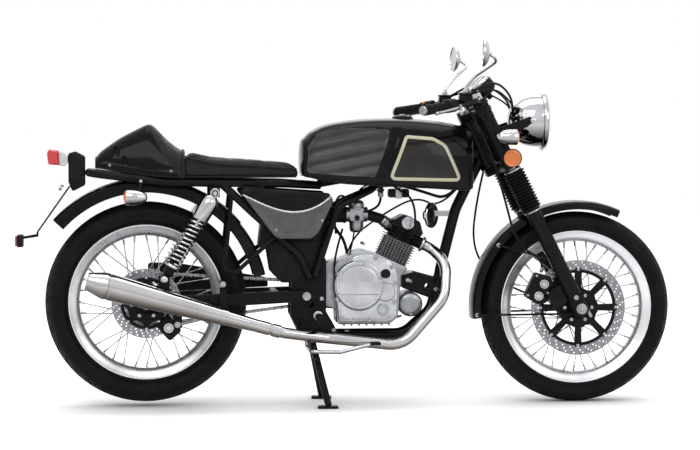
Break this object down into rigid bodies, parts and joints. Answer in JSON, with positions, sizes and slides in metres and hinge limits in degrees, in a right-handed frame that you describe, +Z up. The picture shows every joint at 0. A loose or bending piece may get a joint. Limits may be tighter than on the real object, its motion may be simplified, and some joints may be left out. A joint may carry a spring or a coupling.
{
  "type": "cafe racer motorcycle",
  "caption": "Cafe racer motorcycle with wire-spoked wheels, a long flat-topped tank, a seat hump, a low swept exhaust and a finned engine, parked upright on its centre stand.",
  "frame": {"origin": "on the floor below the middle of the bounding box, in the plane that divides left from right", "axes": "+X forwards along the motorcycle, +Y to the rider's left, +Z up"},
  "size_m": [2.0894, 0.7348, 1.1501],
  "materials": {
    "black_paint": "satin black paint",
    "black_gloss": "deep gloss black paint",
    "black_plastic": "black plastic",
    "polished_alloy": "polished",
    "cast_alloy": "cast and brushed",
    "steel": "plated",
    "disc_steel": "ground",
    "chrome": "polished",
    "tyre": "black rubber",
    "grip_rubber": "black rubber",
    "seat_cover": "black grained cover",
    "amber_lens": "amber",
    "red_lens": "red",
    "clear_lens": "clear"
  },
  "bodies": {
    "chassis": {"main_frame": "black_paint", "frame_cradle": "black_paint", "rear_subframe": "black_paint", "swinging_arm": "black_paint", "rear_axle": "steel", "shock_absorbers": "chrome", "rear_mudguard": "black_paint", "tail_lamp": "red_lens", "plate_bracket": "black_plastic", "rear_indicators": "amber_lens", "fuel_tank": "black_gloss", "seat": "seat_cover", "seat_cowl": "black_gloss", "side_covers": "black_plastic", "air_box": "black_plastic", "crankcase": "cast_alloy", "engine_covers": "cast_alloy", "cylinder": "cast_alloy", "cylinder_head": "black_paint", "carburettor": "cast_alloy", "exhaust_pipe": "chrome", "silencer": "chrome", "chain": "steel", "chain_guard": "black_paint", "foot_controls": "steel", "rear_brake": "black_paint"},
    "steering": {"fork_clamps": "black_paint", "fork_legs": "black_paint", "front_axle": "steel", "headlamp_shell": "chrome", "headlamp_lens": "clear_lens", "lamp_ears": "black_paint", "instruments": "black_plastic", "handlebars": "grip_rubber", "mirrors": "chrome", "front_mudguard": "black_paint", "front_brake": "black_paint", "brake_hose": "grip_rubber", "front_indicators": "amber_lens"},
    "front_roller": {"front_tyre": "tyre", "front_wheel": "polished_alloy", "front_disc": "disc_steel"},
    "rear_roller": {"rear_tyre": "tyre", "rear_wheel": "polished_alloy", "rear_disc": "disc_steel", "rear_sprocket": "steel"},
    "stand": {"centre_stand": "black_paint"}
  },
  "joints": [
    {"name": "steering_turn", "type": "hinge", "parent": "chassis", "child": "steering", "pos_m": [0.42679, 0, 0.82015], "axis": [-0.4462, 0, 0.8949], "range_deg": [-32, 32]},
    {"name": "front_wheel_spin", "type": "hinge", "parent": "steering", "child": "front_roller", "pos_m": [0.73925, 0, 0.3055], "axis": [0, 1, 0], "continuous": true},
    {"name": "rear_wheel_spin", "type": "hinge", "parent": "chassis", "child": "rear_roller", "pos_m": [-0.63575, 0, 0.331], "axis": [0, 1, 0], "continuous": true},
    {"name": "centre_stand_fold", "type": "hinge", "parent": "chassis", "child": "stand", "pos_m": [-0.12075, 0, 0.254], "axis": [0, 1, 0], "range_deg": [0, 88]}
  ]
}
